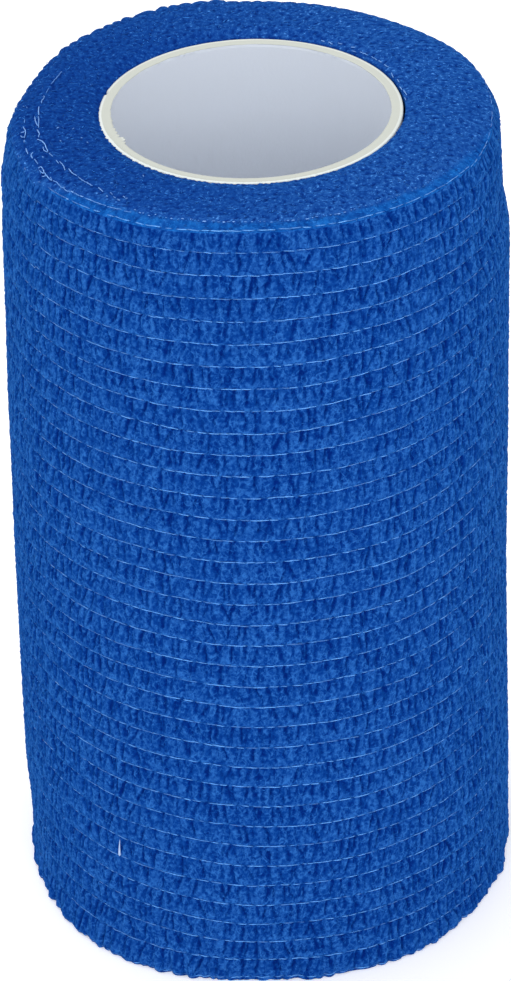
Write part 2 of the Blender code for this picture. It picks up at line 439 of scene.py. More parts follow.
def thread_drift(azimuth, place):
    """The drift table between its angles and threads, with eased shares both ways."""
    front = from_front(azimuth)
    width = np.where(np.abs(front) > DRIFT_ANGLES[-1], 60.0, 30.0)
    total = 0.0
    for column, middle in enumerate(DRIFT_ANGLES, 1):
        near = ease(1.0 - np.abs(front - middle) / width)
        total = total + near * read_table(DRIFT, column, place)
    return total


def shoulder_tuck(azimuth):
    """How far the top edge draws in on the right, as a bell curve around the turn."""
    return TUCK * bell(away_from(azimuth, TUCK_MIDDLE), TUCK_WIDTH)


def rim_drift(azimuth):
    """The drift of the top edge's own thread."""
    return thread_drift(azimuth, THREADS - 1.0)


def winding_offset(azimuth, sizes):
    """Half a layer in to half a layer out, falling evenly around the turn from the cut end."""
    return sizes.layer * (((CUT_END - azimuth) / 360.0) % 1.0 - 0.5)


def rim_radius(azimuth, sizes):
    """The radius of the top edge, wider where its thread has slipped down the shoulder."""
    grown = sizes.roll_radius - SECTIONS[0][1]
    inset = RIM_INSET_SHARE * rim_inset(azimuth) + shoulder_tuck(azimuth)
    slipped = SHOULDER_SPREAD * rim_drift(azimuth)
    return RIM_RADIUS + grown - inset - slipped + winding_offset(azimuth, sizes)


def wall_radius(height, azimuth, sizes):
    """The radius of the wall's crests: the section's radius, less the inset near the top.

    The places where the wall swells or is pressed in are bell curves both ways, and on the right
    it draws in towards the top edge.
    """
    grown = sizes.roll_radius - SECTIONS[0][1]
    share = ease((height - INSET_START) / (INSET_FULL - INSET_START))
    radius = read_table(SECTIONS, 1, height) + grown - rim_inset(azimuth) * share
    for middle, spread, level, rise, reach in SWELLS:
        near = bell(away_from(azimuth, middle), spread) * bell(height - level, rise)
        radius = radius + reach * near
    radius = radius - shoulder_tuck(azimuth) * ease((height - TUCK_START) / TUCK_RISE)
    return radius + winding_offset(azimuth, sizes)


def end_height(radius, azimuth, sizes):
    """The end face: level, then falling to the top edge along a cube, and dipping to the core."""
    edge = rim_radius(azimuth, sizes)
    edge_height = RIM_HEIGHT - rim_drop(azimuth) + rim_drift(azimuth)
    share = np.clip((edge - radius) / (edge - SLOPE_START), 0.0, 1.0)
    height = edge_height + (sizes.cloth_width - edge_height) * (1.0 - (1.0 - share) ** 3)
    dip = sizes.cloth_width - sizes.core_length
    return height - dip * (1.0 - ease((radius - sizes.core_radius) / CORE_DIP_REACH))


def on_end(radius, azimuth, lift, sizes):
    """Points that lie a lift above the top end face."""
    return around(radius, azimuth, end_height(radius, azimuth, sizes) + lift)


def thread_level(index):
    """The height of a thread: rows open out slowly towards the top, and the last is the rim."""
    index = np.asarray(index, dtype=float)
    level = FIRST_THREAD + ROW_PITCH * index + ROW_GROWTH * index ** 2
    return np.where(index > THREADS - 1.5, RIM_HEIGHT, level)


def level_height(place):
    """The height at a place counted in threads, 2.5 being half way from thread 2 to thread 3."""
    low = np.floor(place)
    return thread_level(low) + (thread_level(low + 1) - thread_level(low)) * (place - low)


def grain(turn, rise, cells, seed):
    """Smooth noise from about -1 to 1 that closes after a number of cells along turn.

    Every corner of a lattice has a slope in a random direction, and a point blends the heights
    that the slopes of its four corners give, with an eased share.
    """
    rows = int(np.max(np.floor(rise))) + 3
    angle = np.random.default_rng(seed).random((rows, cells)) * math.tau
    left, low = np.floor(turn).astype(int), np.floor(rise).astype(int)
    across, up = turn - left, rise - low
    total = 0.0
    share_across = across ** 3 * (across * (across * 6.0 - 15.0) + 10.0)
    share_up = up ** 3 * (up * (up * 6.0 - 15.0) + 10.0)
    for step_across in (0, 1):
        for step_up in (0, 1):
            slope = angle[low + step_up, (left + step_across) % cells]
            height = np.cos(slope) * (across - step_across) + np.sin(slope) * (up - step_up)
            weight_across = share_across if step_across else 1.0 - share_across
            weight_up = share_up if step_up else 1.0 - share_up
            total = total + height * weight_across * weight_up
    return total * 1.5


def turn_grain(azimuth, rise, cell, seed):
    """Noise around the roll, with cells of a given width at the wall, closed around the turn."""
    cells = max(4, round(math.tau * SECTIONS[0][1] / cell))
    return grain((azimuth % 360.0) / 360.0 * cells, rise, cells, seed)


def plane_grain(x, y, cell, seed):
    """Noise across the end faces, with square cells."""
    return grain((x + NOISE_SQUARE) / cell, (y + NOISE_SQUARE) / cell, 256, seed)


def around(radius, azimuth, height, lean=0.0):
    """Points at a radius, an azimuth and a height, about a middle that leans along X."""
    angle = np.radians(azimuth)
    radius, angle, height, lean = np.broadcast_arrays(radius, angle, height, lean)
    return np.stack([lean + radius * np.cos(angle), radius * np.sin(angle), height], axis=-1)


def core_edge(azimuth, radius):
    """A radius of the core, pressed slightly oval: wider from side to side."""
    return radius + CORE_OVAL * np.cos(np.radians(2.0 * azimuth))


def shoulder_edge(azimuth, edge):
    """Where the felt ends: at the top edge behind, and inside a smooth shoulder in front."""
    front = from_front(azimuth)
    wide = ease((front + 64.0) / 26.0) * ease((96.0 - front) / 40.0)
    waver = 0.00022 * turn_grain(azimuth, 2.0, 0.0030, 63)
    return edge + 0.0005 - wide * (0.0019 + waver + 0.0003 * np.cos(np.radians(front + 60.0)))


def foot_edge(azimuth):
    """How far the foot stands out: a flare beside the front on both sides, and ragged lobes.

    A lobe is the root of a noise's size, so that the notches between lobes are sharp.
    """
    front = from_front(azimuth)
    flare = bell(front + 37.0, 21.0) + 0.7 * bell(front - 36.0, 20.0)
    lobes = np.sqrt(np.abs(turn_grain(azimuth, 6.5, 0.0016, 68))) - 0.55
    ragged = 1.5 * lobes + 0.5 * turn_grain(azimuth, 1.5, 0.0008, 69)
    return FOOT_FLARE * flare + FOOT_RAGGED * ragged


def wander(azimuth, place, sizes):
    """How far a thread strays up or down: slow noise shared by neighbours, and a little of its own.

    It dies away at the foot and at the top edge, which stay where they are.
    """
    slow = turn_grain(azimuth, place / 2.6 + 1.0, 0.011, 11)
    own = turn_grain(azimuth, place * 1.7 + 1.0, 0.0045, 12)
    held = ease(place / 2.0) * ease((THREADS - 1 - place) / 3.0)
    return sizes.thread_wander * held * (slow + own * 0.35)


def wall_points(azimuth, place, proud, sizes):
    """Points of the wall at an azimuth and a place counted in threads, proud of its crests.

    In the last row the radius runs to the top edge's along a cube.
    """
    level = level_height(place)
    fall = ease((level - INSET_START) / (sizes.cloth_width - INSET_START)) * rim_drop(azimuth)
    drift = thread_drift(azimuth, place)
    lobes = scallop(azimuth) * ease((place - THREADS + 3.0) / 2.0)
    height = level + drift + wander(azimuth, place, sizes) - fall + SCALLOP_RISE * lobes
    radius = wall_radius(level + drift, azimuth, sizes)
    last = np.clip(place - (THREADS - 2), 0.0, 1.0) ** 3
    radius = radius + (rim_radius(azimuth, sizes) - radius) * last + SCALLOP_REACH * lobes
    radius = radius + foot_edge(azimuth) * ease(1.0 - place / 1.6)
    return around(radius + proud, azimuth, height, read_table(SECTIONS, 2, level))


# ---- The texture of the gathers ----


def furrow_field(azimuth, place):
    """How deep the furrows lie, 0 to 1, and how far a point is on the fold that edges one.

    Each row between two threads has its own furrows, upright hollows that most often hang from
    the upper thread and close below like a drop. The depth across one is a bell curve, and its
    width and depth fall along a circle's arc to the lower end, and a little to the upper one. The
    fold beside it is a narrower bell curve a set way out from the middle, on each side.
    """
    rng = np.random.default_rng(21)
    shape = (THREADS - 1, FURROWS)
    centre = (np.arange(FURROWS) + rng.uniform(-0.42, 0.42, shape)) / FURROWS
    width = rng.uniform(0.00011, 0.00021, shape)
    middle = rng.uniform(0.52, 0.82, shape)
    reach = rng.uniform(0.50, 0.98, shape) * middle
    tilt = rng.normal(0.0, 0.00030, shape)
    depth = rng.uniform(0.30, 1.0, shape)
    closing = rng.choice((0.2, 0.5, 1.0), shape, p=(0.60, 0.22, 0.18))
    folds = rng.uniform(0.0, 1.0, (2,) + shape)
    row = np.clip(np.floor(place), 0, THREADS - 2).astype(int)
    share = place - row
    turn = (azimuth % 360.0) / 360.0
    bend = 0.00022 * turn_grain(azimuth, place * 2.7 + 1.0, 0.0012, 22)
    column = np.floor(turn * FURROWS).astype(int)
    girth = math.tau * SECTIONS[0][1]
    deep, edged = 0.0, 0.0
    for step in (-1, 0, 1):
        key = (row, (column + step) % FURROWS)
        away = ((turn - centre[key] + 0.5) % 1.0 - 0.5) * girth + bend
        away = away - tilt[key] * (share - middle[key]) * 2.0
        below = ((middle[key] - share) / reach[key]) ** 2
        above = closing[key] * ((share - middle[key]) / (1.0 - middle[key])) ** 2
        inside = np.clip(1.0 - np.where(share < middle[key], below, above), 0.0, 1.0)
        spread = width[key] * np.sqrt(inside) + 0.00002
        deep = np.maximum(deep, depth[key] * np.sqrt(inside) * bell(away, spread))
        for side, sign in enumerate((-1.0, 1.0)):
            beside = away - sign * (spread * 1.3 + FOLD_WIDTH)
            fold = folds[side][key] * np.sqrt(inside) * bell(beside, FOLD_WIDTH)
            edged = np.maximum(edged, fold)
    closed = ease((1.0 - share) / 0.035) * ease(share / 0.055)
    return deep * closed, edged * closed


def crushed_cells(across, up, cells, seed):
    """Cells like crushed paper: how near a point is to a fold, and its own cell's shade, 0 to 1.

    Every square of a lattice holds one middle, thrown at random. A fold lies where the nearest two
    middles are equally far away, and is a bell curve of the difference of their distances.
    """
    rng = np.random.default_rng(seed)
    rows = int(np.max(up)) + 3
    thrown = rng.random((2, rows, cells))
    shades = rng.random((rows, cells))
    left, low = np.floor(across).astype(int), np.floor(up).astype(int)
    nearest, second, shade = 9.0, 9.0, 0.5
    for step_across in (-1, 0, 1):
        for step_up in (-1, 0, 1):
            key = (np.clip(low + step_up, 0, rows - 1), (left + step_across) % cells)
            aside = left + step_across + thrown[0][key] - across
            above = low + step_up + thrown[1][key] - up
            distance = np.hypot(aside, above)
            second = np.minimum(second, np.maximum(nearest, distance))
            shade = np.where(distance < nearest, shades[key], shade)
            nearest = np.minimum(nearest, distance)
    return bell(second - nearest, 0.16), shade


def crease_field(azimuth, place):
    """Thin creases, 0 to 1, and the shades of the upright cells and of the net's cells.

    Upright folds run from thread to thread, a row of cells for each row, and a net of smaller
    crushed cells lies over them, here and there.
    """
    girth = math.tau * SECTIONS[0][1]
    turn = (azimuth % 360.0) / 360.0
    sway = 0.30 * turn_grain(azimuth, place * 1.3 + 1.0, 0.0016, 31)
    row = np.floor(place)
    tall = round(girth / UPRIGHT_CELL)
    rise = row * 3.0 + 1.5 + 0.5 * (place - row)
    upright, shade = crushed_cells(turn * tall + sway, rise, tall, 32)
    small = round(girth / NET_CELL)
    rise = np.maximum(place * 3.1 + 1.2 + sway, 0.0)
    net, patch = crushed_cells(turn * small + sway, rise, small, 33)
    worn = ease(0.5 + 1.5 * turn_grain(azimuth, place * 1.6 + 1.0, 0.0018, 34))
    crease = np.maximum(upright * (0.15 + 0.65 * worn), 0.85 * net * (1.0 - 0.5 * worn))
    return crease, shade, patch


def wall_relief(azimuth, place, sizes):
    """How far the wall stands proud of its crests, and its tone from 0, deep with painted shade, to
    1, light with painted highlight.

    A row swells quickly above its lower thread and runs out gently to its upper one, along
    parabolas. Creases stand up, furrows go down, and crumple of two sizes goes both ways. The
    tone is painted lighter on raised creases and folds, painted highlight, and darker in the
    furrows, painted shade. Along a thread's line it is painted pale, painted light that lifts the
    shade under the rows' overhang.
    """
    share = place - np.floor(place)
    low_flank = 1.0 - (1.0 - np.clip(share / 0.072, 0.0, 1.0)) ** 2
    high_flank = 1.0 - (1.0 - np.clip((1.0 - share) / 0.30, 0.0, 1.0)) ** 2
    swell = low_flank * high_flank
    deep, edged = furrow_field(azimuth, place)
    crease, shade, patch = crease_field(azimuth, place)
    crumple = turn_grain(azimuth, place * 2.9 + 1.0, CRUMPLE_CELL, 41)
    fine = turn_grain(azimuth, place * 6.0 + 1.0, FINE_CELL, 42)
    raised = np.maximum(crease, edged * 0.8) * (0.35 + 0.65 * swell)
    settle = ease((THREADS - 1 - place) / 0.7)
    proud = (
        -ROW_SINK
        + sizes.row_bulge * swell
        + sizes.crease_height * raised * (1.0 - 0.7 * deep)
        - sizes.furrow_depth * deep
        + SHADE_RELIEF * (shade - 0.5)
        + CRUMPLE_RELIEF * crumple
        + FINE_RELIEF * fine
    )
    # The tone's painted highlight on raised creases, and painted shade down in the furrows.
    tone = 0.485 + 0.24 * raised * (1.0 - deep) - 0.58 * deep
    tone = tone + 0.04 * (shade - 0.5) + 0.14 * (patch - 0.5) + 0.02 * crumple + 0.18 * fine
    # Painted light along a thread's line, which lifts the shade under the rows' overhang.
    thread_line_painted_light = np.clip(1.0 - np.minimum(share, 1.0 - share) / 0.045, 0.0, 1.0)
    tone = tone * (1.0 - 0.85 * thread_line_painted_light) + 0.74 * thread_line_painted_light
    return proud * settle, np.clip(tone, 0.0, 1.0)


def felt_relief(x, y):
    """Crumbs and pits of the felted end faces, from noise of two sizes, with their tone: painted
    light on the crumbs and painted shade in the pits.
    """
    coarse = plane_grain(x, y, FELT_COARSE_CELL, 51)
    fine = plane_grain(x + 0.0002 * coarse, y, FELT_FINE_CELL, 52)
    crumb = 0.30 * coarse + 0.70 * fine
    pit = np.clip(-crumb - 0.15, 0.0, 1.0)
    fleck = np.clip(plane_grain(x, y, FLECK_CELL, 53) - 0.34, 0.0, 1.0)
    height = 0.5 * crumb - 1.2 * pit
    # The tone is painted lighter on the crumbs and darker in the pits: painted light and painted
    # shade. The flecks are pale fibres.
    tone = 0.475 + 0.26 * crumb - 0.95 * pit + 1.05 * fleck
    return height, np.clip(tone, 0.0, 1.0)


# ---- Meshes ----


def add_piece(name, points, faces, finish, shares, node="bandage"):
    """A mesh object from arrays of points and faces, on the root body, standing for a solid.

    shares holds named values for each point, held from 0 to 1, which the finishes read.
    """
    mesh = bpy.data.meshes.new(name)
    mesh.vertices.add(len(points))
    mesh.vertices.foreach_set("co", np.asarray(points, dtype=np.float32).ravel())
    corners = faces.shape[1]
    mesh.loops.add(faces.size)
    mesh.loops.foreach_set("vertex_index", faces.astype(np.int32).ravel())
    mesh.polygons.add(len(faces))
    mesh.polygons.foreach_set("loop_start", np.arange(0, faces.size, corners, dtype=np.int32))
    mesh.update(calc_edges=True)
    if mesh.validate():
        raise RuntimeError(f"{name} has faces that can't stand")
    mesh.shade_smooth()
    for label, values in shares.items():
        layer = mesh.attributes.new(label, "FLOAT", "POINT")
        layer.data.foreach_set("value", np.clip(values, 0.0, 1.0).astype(np.float32).ravel())
    mesh.materials.append(finish)
    piece = bpy.data.objects.new(name, mesh)
    bpy.context.scene.collection.objects.link(piece)
    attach(piece, BODY)
    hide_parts(node)
    return piece


def ring_faces(rings, columns):
    """Quads that join each closed ring of points to the next, and the last ring to the first."""
    ring = np.arange(rings)[:, None]
    column = np.arange(columns)[None, :]
    here, above = ring * columns, (ring + 1) % rings * columns
    following = (column + 1) % columns
    corners = (here + column, here + following, above + following, above + column)
    return np.stack(np.broadcast_arrays(*corners), axis=-1).reshape(-1, 4)


def ring_body(name, rings, finish, shares, node="bandage"):
    """A closed body from an array of rings of points, outermost upwards, then back inside."""
    faces = ring_faces(*rings.shape[:2])
    return add_piece(name, rings.reshape(-1, 3), faces, finish, shares, node)


def add_tubes(name, centres, outward, radii, shown, finish, sides=3):
    """Thin closed tubes along paths of points, as one piece: rings of a few sides between tips.

    centres is tubes by points by 3, outward a direction across the path, radii the thickness, and
    shown how bare each path point is, 0 to 1, with any painted highlight on it. A ring's points are
    the centre plus the radius times the cosine and sine of the side's angle, along outward and
    across it. A tip is a single point.
    """
    count, length = centres.shape[:2]
    inner = slice(1, length - 1)
    along = np.gradient(centres, axis=1)
    across = np.cross(along, outward)
    across /= np.linalg.norm(across, axis=-1, keepdims=True) + 1e-12
    out = np.cross(across, along)
    out /= np.linalg.norm(out, axis=-1, keepdims=True) + 1e-12
    turn = (math.tau * (np.arange(sides) + 0.25) / sides)[:, None]
    spread = out[:, inner, None] * np.cos(turn) + across[:, inner, None] * np.sin(turn)
    radii = np.broadcast_to(radii, (count, length))[:, inner, None, None]
    rings = centres[:, inner, None] + radii * spread
    tips = np.stack([centres[:, 0], centres[:, -1]], axis=1)
    points = np.concatenate([rings.reshape(count, -1, 3), tips], axis=1)
    per_tube = points.shape[1]
    first, last = per_tube - 2, per_tube - 1
    side = np.arange(sides)
    beside = (side + 1) % sides
    ring = np.arange(length - 3)[:, None] * sides
    low, low_next = ring + side, ring + beside
    high, high_next = low + sides, low_next + sides
    end = (length - 3) * sides
    walls = [
        np.stack([low, high, low_next], axis=-1).reshape(-1, 3),
        np.stack([low_next, high, high_next], axis=-1).reshape(-1, 3),
        np.stack([np.full(sides, first), side, beside], axis=-1),
        np.stack([np.full(sides, last), end + beside, end + side], axis=-1),
    ]
    faces = np.concatenate(walls)[None] + np.arange(count)[:, None, None] * per_tube
    # The rings' values come first, one to a side, and then the two tips'.
    shown = np.broadcast_to(shown, (count, length))
    ringed = np.repeat(shown[:, inner], sides, axis=1)
    values = np.concatenate([ringed, shown[:, :1], shown[:, -1:]], axis=1)
    return add_piece(name, points.reshape(-1, 3), faces.reshape(-1, 3), finish, {"shown": values})


# ---- Finishes ----


def start_finish(name):
    """A new material with its node tree and its shader, in place of one with the same name."""
    known = bpy.data.materials.get(name)
    if known:
        bpy.data.materials.remove(known)
    material = bpy.data.materials.new(name)
    material.use_nodes = True
    return material, material.node_tree, material.node_tree.nodes["Principled BSDF"]


def fill_inputs(tree, node, inputs):
    """Set a node's inputs to values, or join them to other nodes' sockets."""
    for key, value in inputs.items():
        if isinstance(value, bpy.types.NodeSocket):
            tree.links.new(value, node.inputs[key])
        else:
            node.inputs[key].default_value = value


def joined(tree, kind, inputs, **settings):
    """A new node with its settings made and its inputs filled."""
    made = tree.nodes.new(kind)
    for key, value in settings.items():
        setattr(made, key, value)
    fill_inputs(tree, made, inputs)
    return made


def attribute(tree, name):
    """A value that the piece's points carry."""
    return joined(tree, "ShaderNodeAttribute", {}, attribute_name=name).outputs["Fac"]


def remapped(tree, value, low, high, start=0.0, end=1.0, **settings):
    """A value carried from the range low to high into the range start to end, and held there."""
    inputs = {"Value": value, "From Min": low, "From Max": high, "To Min": start, "To Max": end}
    return joined(tree, "ShaderNodeMapRange", inputs, **settings).outputs["Result"]


def object_noise(tree, cell, stretch, detail=2.0, roughness=0.55):
    """Noise on the piece's own coordinates, with features of a given size, longer up the roll."""
    place = tree.nodes.new("ShaderNodeTexCoord").outputs["Object"]
    scaled = joined(
        tree, "ShaderNodeMapping",
        {"Vector": place, "Scale": (1.0 / cell, 1.0 / cell, 1.0 / (cell * stretch))})
    noise = joined(
        tree, "ShaderNodeTexNoise",
        {"Vector": scaled.outputs["Vector"], "Scale": 1.0, "Detail": detail,
         "Roughness": roughness})
    return noise.outputs["Fac"]


def net_folds(tree, cell, line, strength, spell):
    """Folds of crushed cells, too fine for the mesh: lines on the edges of swayed cells, painted
    lighter as painted highlight.

    line is the width of a fold as a share of a cell, and a slow noise lets the folds show by
    spells. A cell between them is a little darker, so that the usual tone stays the same. With the
    folds comes a shade, 0 to 1, of each cell.
    """
    place = tree.nodes.new("ShaderNodeTexCoord").outputs["Object"]
    sway = joined(
        tree, "ShaderNodeTexNoise", {"Vector": place, "Scale": 0.6 / cell, "Detail": 1.0})
    pushed = joined(
        tree, "ShaderNodeVectorMath",
        {0: sway.outputs["Color"], 1: (cell * 1.1, cell * 1.1, cell * 1.1), 2: place},
        operation="MULTIPLY_ADD")
    cells = joined(
        tree, "ShaderNodeMapping",
        {"Vector": pushed.outputs[0], "Scale": (1.0 / cell, 1.0 / cell, 0.9 / cell)})
    inputs = {"Vector": cells.outputs["Vector"], "Scale": 1.0}
    edge = joined(tree, "ShaderNodeTexVoronoi", inputs, feature="DISTANCE_TO_EDGE")
    own = joined(tree, "ShaderNodeTexVoronoi", inputs, feature="F1")
    fold = remapped(
        tree, edge.outputs["Distance"], 0.0, line, strength, 0.0, interpolation_type="SMOOTHSTEP")
    shown = remapped(tree, object_noise(tree, cell * spell, 1.2, 1.0), 0.40, 0.58)
    shade = joined(tree, "ShaderNodeSeparateColor", {"Color": own.outputs["Color"]})
    level = arithmetic(tree, "ADD", fold, -0.22 * strength)
    return arithmetic(tree, "MULTIPLY", level, shown), shade.outputs["Red"]


def arithmetic(tree, operation, first, second, third=0.0):
    """A sum, product or the like of sockets and numbers."""
    made = joined(
        tree, "ShaderNodeMath", {0: first, 1: second, 2: third}, operation=operation)
    return made.outputs[0]


def ramp_of(tree, share, stops):
    """A colour that runs through stops of place and colour."""
    ramp = joined(tree, "ShaderNodeValToRGB", {"Fac": share})
    band = ramp.color_ramp
    while len(band.elements) < len(stops):
        band.elements.new(0.5)
    for element, (place, colour) in zip(band.elements, stops):
        element.position = place
        element.color = (*colour, 1.0)
    return ramp.outputs["Color"]


def bumped(tree, height, distance, strength):
    """The normal of fine relief from a height, too small for the mesh."""
    bump = joined(
        tree, "ShaderNodeBump", {"Height": height, "Distance": distance, "Strength": strength})
    return bump.outputs["Normal"]


def cloth_finish(name, stops, net, fuzz, smooth_stops=None):
    """Matte crinkled cloth: its tone picks the blue, from painted shade to painted light, varied by
    fibres, flecks, patches and folds, whose lines are painted highlight.

    Where the cloth is drawn smooth, the blues run through smooth_stops instead. net holds the
    cells' size, the folds' share of it, their strength, and that of the shades, and fuzz the
    strengths of the fibres, the curds and the flecks.
    """
    material, tree, shader = start_finish(name)
    cell, line, strength, shading = net
    fibre_share, curd_share, fleck_share = fuzz
    patch_share = 0.04
    fibres = object_noise(tree, 0.00022, 1.1, 3.0, 0.65)
    patches = object_noise(tree, 0.006, 1.0, 1.0)
    specks = object_noise(tree, 0.00024, 1.0, 1.0)
    fleck = remapped(tree, specks, 0.57, 0.74, 0.0, fleck_share)
    wide, shade = net_folds(tree, cell, line, strength, 2.2)
    small, _ = net_folds(tree, cell * 0.55, line * 1.3, strength * 0.7, 3.0)
    fold = arithmetic(tree, "ADD", wide, small)
    curds = object_noise(tree, 0.00042, 1.0, 0.0)
    share = attribute(tree, "tone")
    strengths = (fibre_share, curd_share, patch_share, shading)
    for part, amount in zip((fibres, curds, patches, shade), strengths):
        share = arithmetic(tree, "MULTIPLY_ADD", part, amount, share)
    usual = sum(strengths) / 2.0
    share = arithmetic(tree, "ADD", share, -usual)
    share = arithmetic(tree, "ADD", share, arithmetic(tree, "ADD", fleck, fold))
    colour = ramp_of(tree, share, stops)
    if smooth_stops:
        inputs = {0: attribute(tree, "smooth"), 6: colour, 7: ramp_of(tree, share, smooth_stops)}
        colour = joined(tree, "ShaderNodeMix", inputs, data_type="RGBA").outputs[2]
    relief = arithmetic(tree, "MULTIPLY_ADD", fold, 1.5, fibres)
    fill_inputs(tree, shader, {
        "Base Color": colour,
        "Roughness": arithmetic(tree, "MULTIPLY_ADD", fibres, -0.25, 0.95),
        "Normal": bumped(tree, relief, 0.00008, 0.7),
        "Specular IOR Level": 0.01,
        "Sheen Weight": 0.055,
        "Sheen Roughness": 0.5,
        "Sheen Tint": (0.04, 0.70, 0.95, 1.0),
    })
    return material


def thread_finish(name, pale, under, roughness, gloss):
    """Elastic thread or fibre: its own pale colour where it is bare, and where an elastic thread
    carries a painted highlight; the cloth's where covered.
    """
    material, tree, shader = start_finish(name)
    fuzz = object_noise(tree, 0.00025, 1.0, 2.0)
    mottle = arithmetic(tree, "MULTIPLY_ADD", fuzz, 0.5, -0.25)
    share = arithmetic(tree, "ADD", attribute(tree, "shown"), mottle)
    fill_inputs(tree, shader, {
        "Base Color": ramp_of(tree, share, ((0.0, under), (1.0, pale))),
        "Normal": bumped(tree, fuzz, 0.00004, 0.4),
        "Roughness": roughness,
        "Specular IOR Level": gloss,
    })
    return material


def paper_finish(name, colours):
    """Paper board: a creamy cut edge, a whiter outer ply and a grey inside, with faint fibres."""
    material, tree, shader = start_finish(name)
    fibres = object_noise(tree, 0.00035, 1.5, 4.0, 0.6)
    mottle = arithmetic(tree, "MULTIPLY_ADD", fibres, 0.16, -0.08)
    share = arithmetic(tree, "ADD", attribute(tree, "ply"), mottle)
    stops = (
        (0.10, colours.paper_inside),
        (0.42, colours.paper),
        (0.60, colours.paper),
        (0.90, colours.paper_ply),
    )
    fill_inputs(tree, shader, {
        "Base Color": ramp_of(tree, share, stops),
        "Normal": bumped(tree, fibres, 0.00006, 0.35),
        "Roughness": 0.85,
        "Specular IOR Level": 0.2,
    })
    return material


# ---- Operators ----


class BANDAGE_OT_make_wall(bpy.types.Operator):
    """Make the crinkled wall of the roll in four bands, from the foot to the top edge"""

    bl_idname = "bandage.make_wall"
    bl_label = "Crinkled wall"

    def execute(self, context):
        sizes, colours = context.scene.bandage_sizes, context.scene.bandage_colours
        stops = ((0.06, colours.cloth_painted_shade), (0.47, colours.cloth), (0.96, colours.cloth_painted_light))
        finish = cloth_finish(
            "crinkled_cloth", stops, net=(0.00080, 0.12, 0.29, 0.18), fuzz=(0.50, 0.56, 0.28))
        column = np.arange(WALL_COLUMNS)
        azimuth = CUT_END + 360.0 * column / WALL_COLUMNS
        # The cut end's edge wavers, and the columns beside it follow less and less.
        distance = (column + WALL_COLUMNS / 2) % WALL_COLUMNS - WALL_COLUMNS / 2
        inner = sizes.core_radius + CORE_GAP + 0.0003
        for band in range(WALL_BANDS):
            first = band * BAND_ROWS
            rows = first + np.arange(BAND_ROWS)[:, None] + np.array(ROW_SHARES)
            place = np.append(rows.ravel(), first + BAND_ROWS)[:, None]
            waver = 0.5 * grain(place * 0.9 + 1.0, 0.0, 64, 61)
            angle = azimuth + waver * bell(distance, 10.0)
            proud, tone = wall_relief(angle, place, sizes)
            rings = wall_points(angle, place, proud, sizes)
            low, high = rings[0, :, 2].mean() + 0.0010, rings[-1, :, 2].mean() - 0.0015
            parts = [rings, around(inner, azimuth, [[high], [low]])]
            tones = [tone, np.full((2, WALL_COLUMNS), 0.5)]
            if band == 0:
                parts.insert(0, self.foot_rings(azimuth, rings[0, :, 2], sizes))
                tones.insert(0, np.tile(tone[3], (len(FOOT_SHARES), 1)))
            ring_body(
                f"crinkled_wall_{band + 1}", np.concatenate(parts), finish,
                {"tone": np.concatenate(tones)})
        return {"FINISHED"}

    def foot_rings(self, azimuth, lowest, sizes):
        """Rings from the floor to the lowest thread: a share of its height, lifted in places."""
        share = np.array(FOOT_SHARES)[:, None]
        lifted = np.clip(turn_grain(azimuth, 1.0, 0.0021, 60), 0.0, 1.0)
        rise = np.maximum(share * lowest, FOOT_LIFT * lifted)
        out = wall_radius(0.0, azimuth, sizes) + foot_edge(azimuth) - FOOT_TUCK
        return around(out - FOOT_TUCK * (1.0 - share), azimuth, rise)


